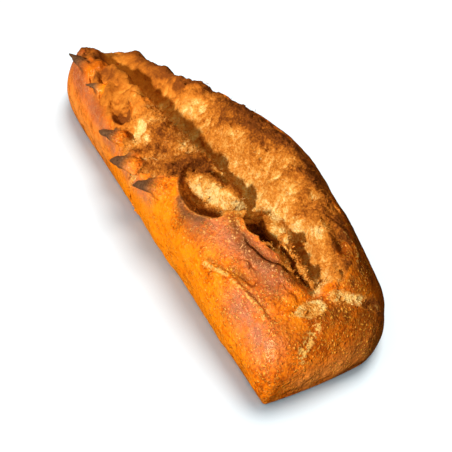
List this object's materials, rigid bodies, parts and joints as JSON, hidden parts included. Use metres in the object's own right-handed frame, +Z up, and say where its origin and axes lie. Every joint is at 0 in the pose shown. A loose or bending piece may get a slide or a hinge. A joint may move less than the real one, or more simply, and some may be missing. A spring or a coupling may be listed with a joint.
{
  "type": "bread loaf",
  "caption": "Long crusty loaf of bread with one squarer end, burst open along its top to torn pale crumb, with burnt tips of crust down one side and a flat underside.",
  "frame": {"origin": "middle of the box of the flat underside", "axes": "+X along the loaf towards its squarer end, +Y across it towards its higher, more swollen side, +Z up"},
  "size_m": [0.3949, 0.1392, 0.091],
  "materials": {
    "crust": "baked crust, orange to dark brown with a low sheen, and matt golden crumb where it is torn open"
  },
  "bodies": {
    "root": {"loaf": "crust"}
  },
  "joints": []
}
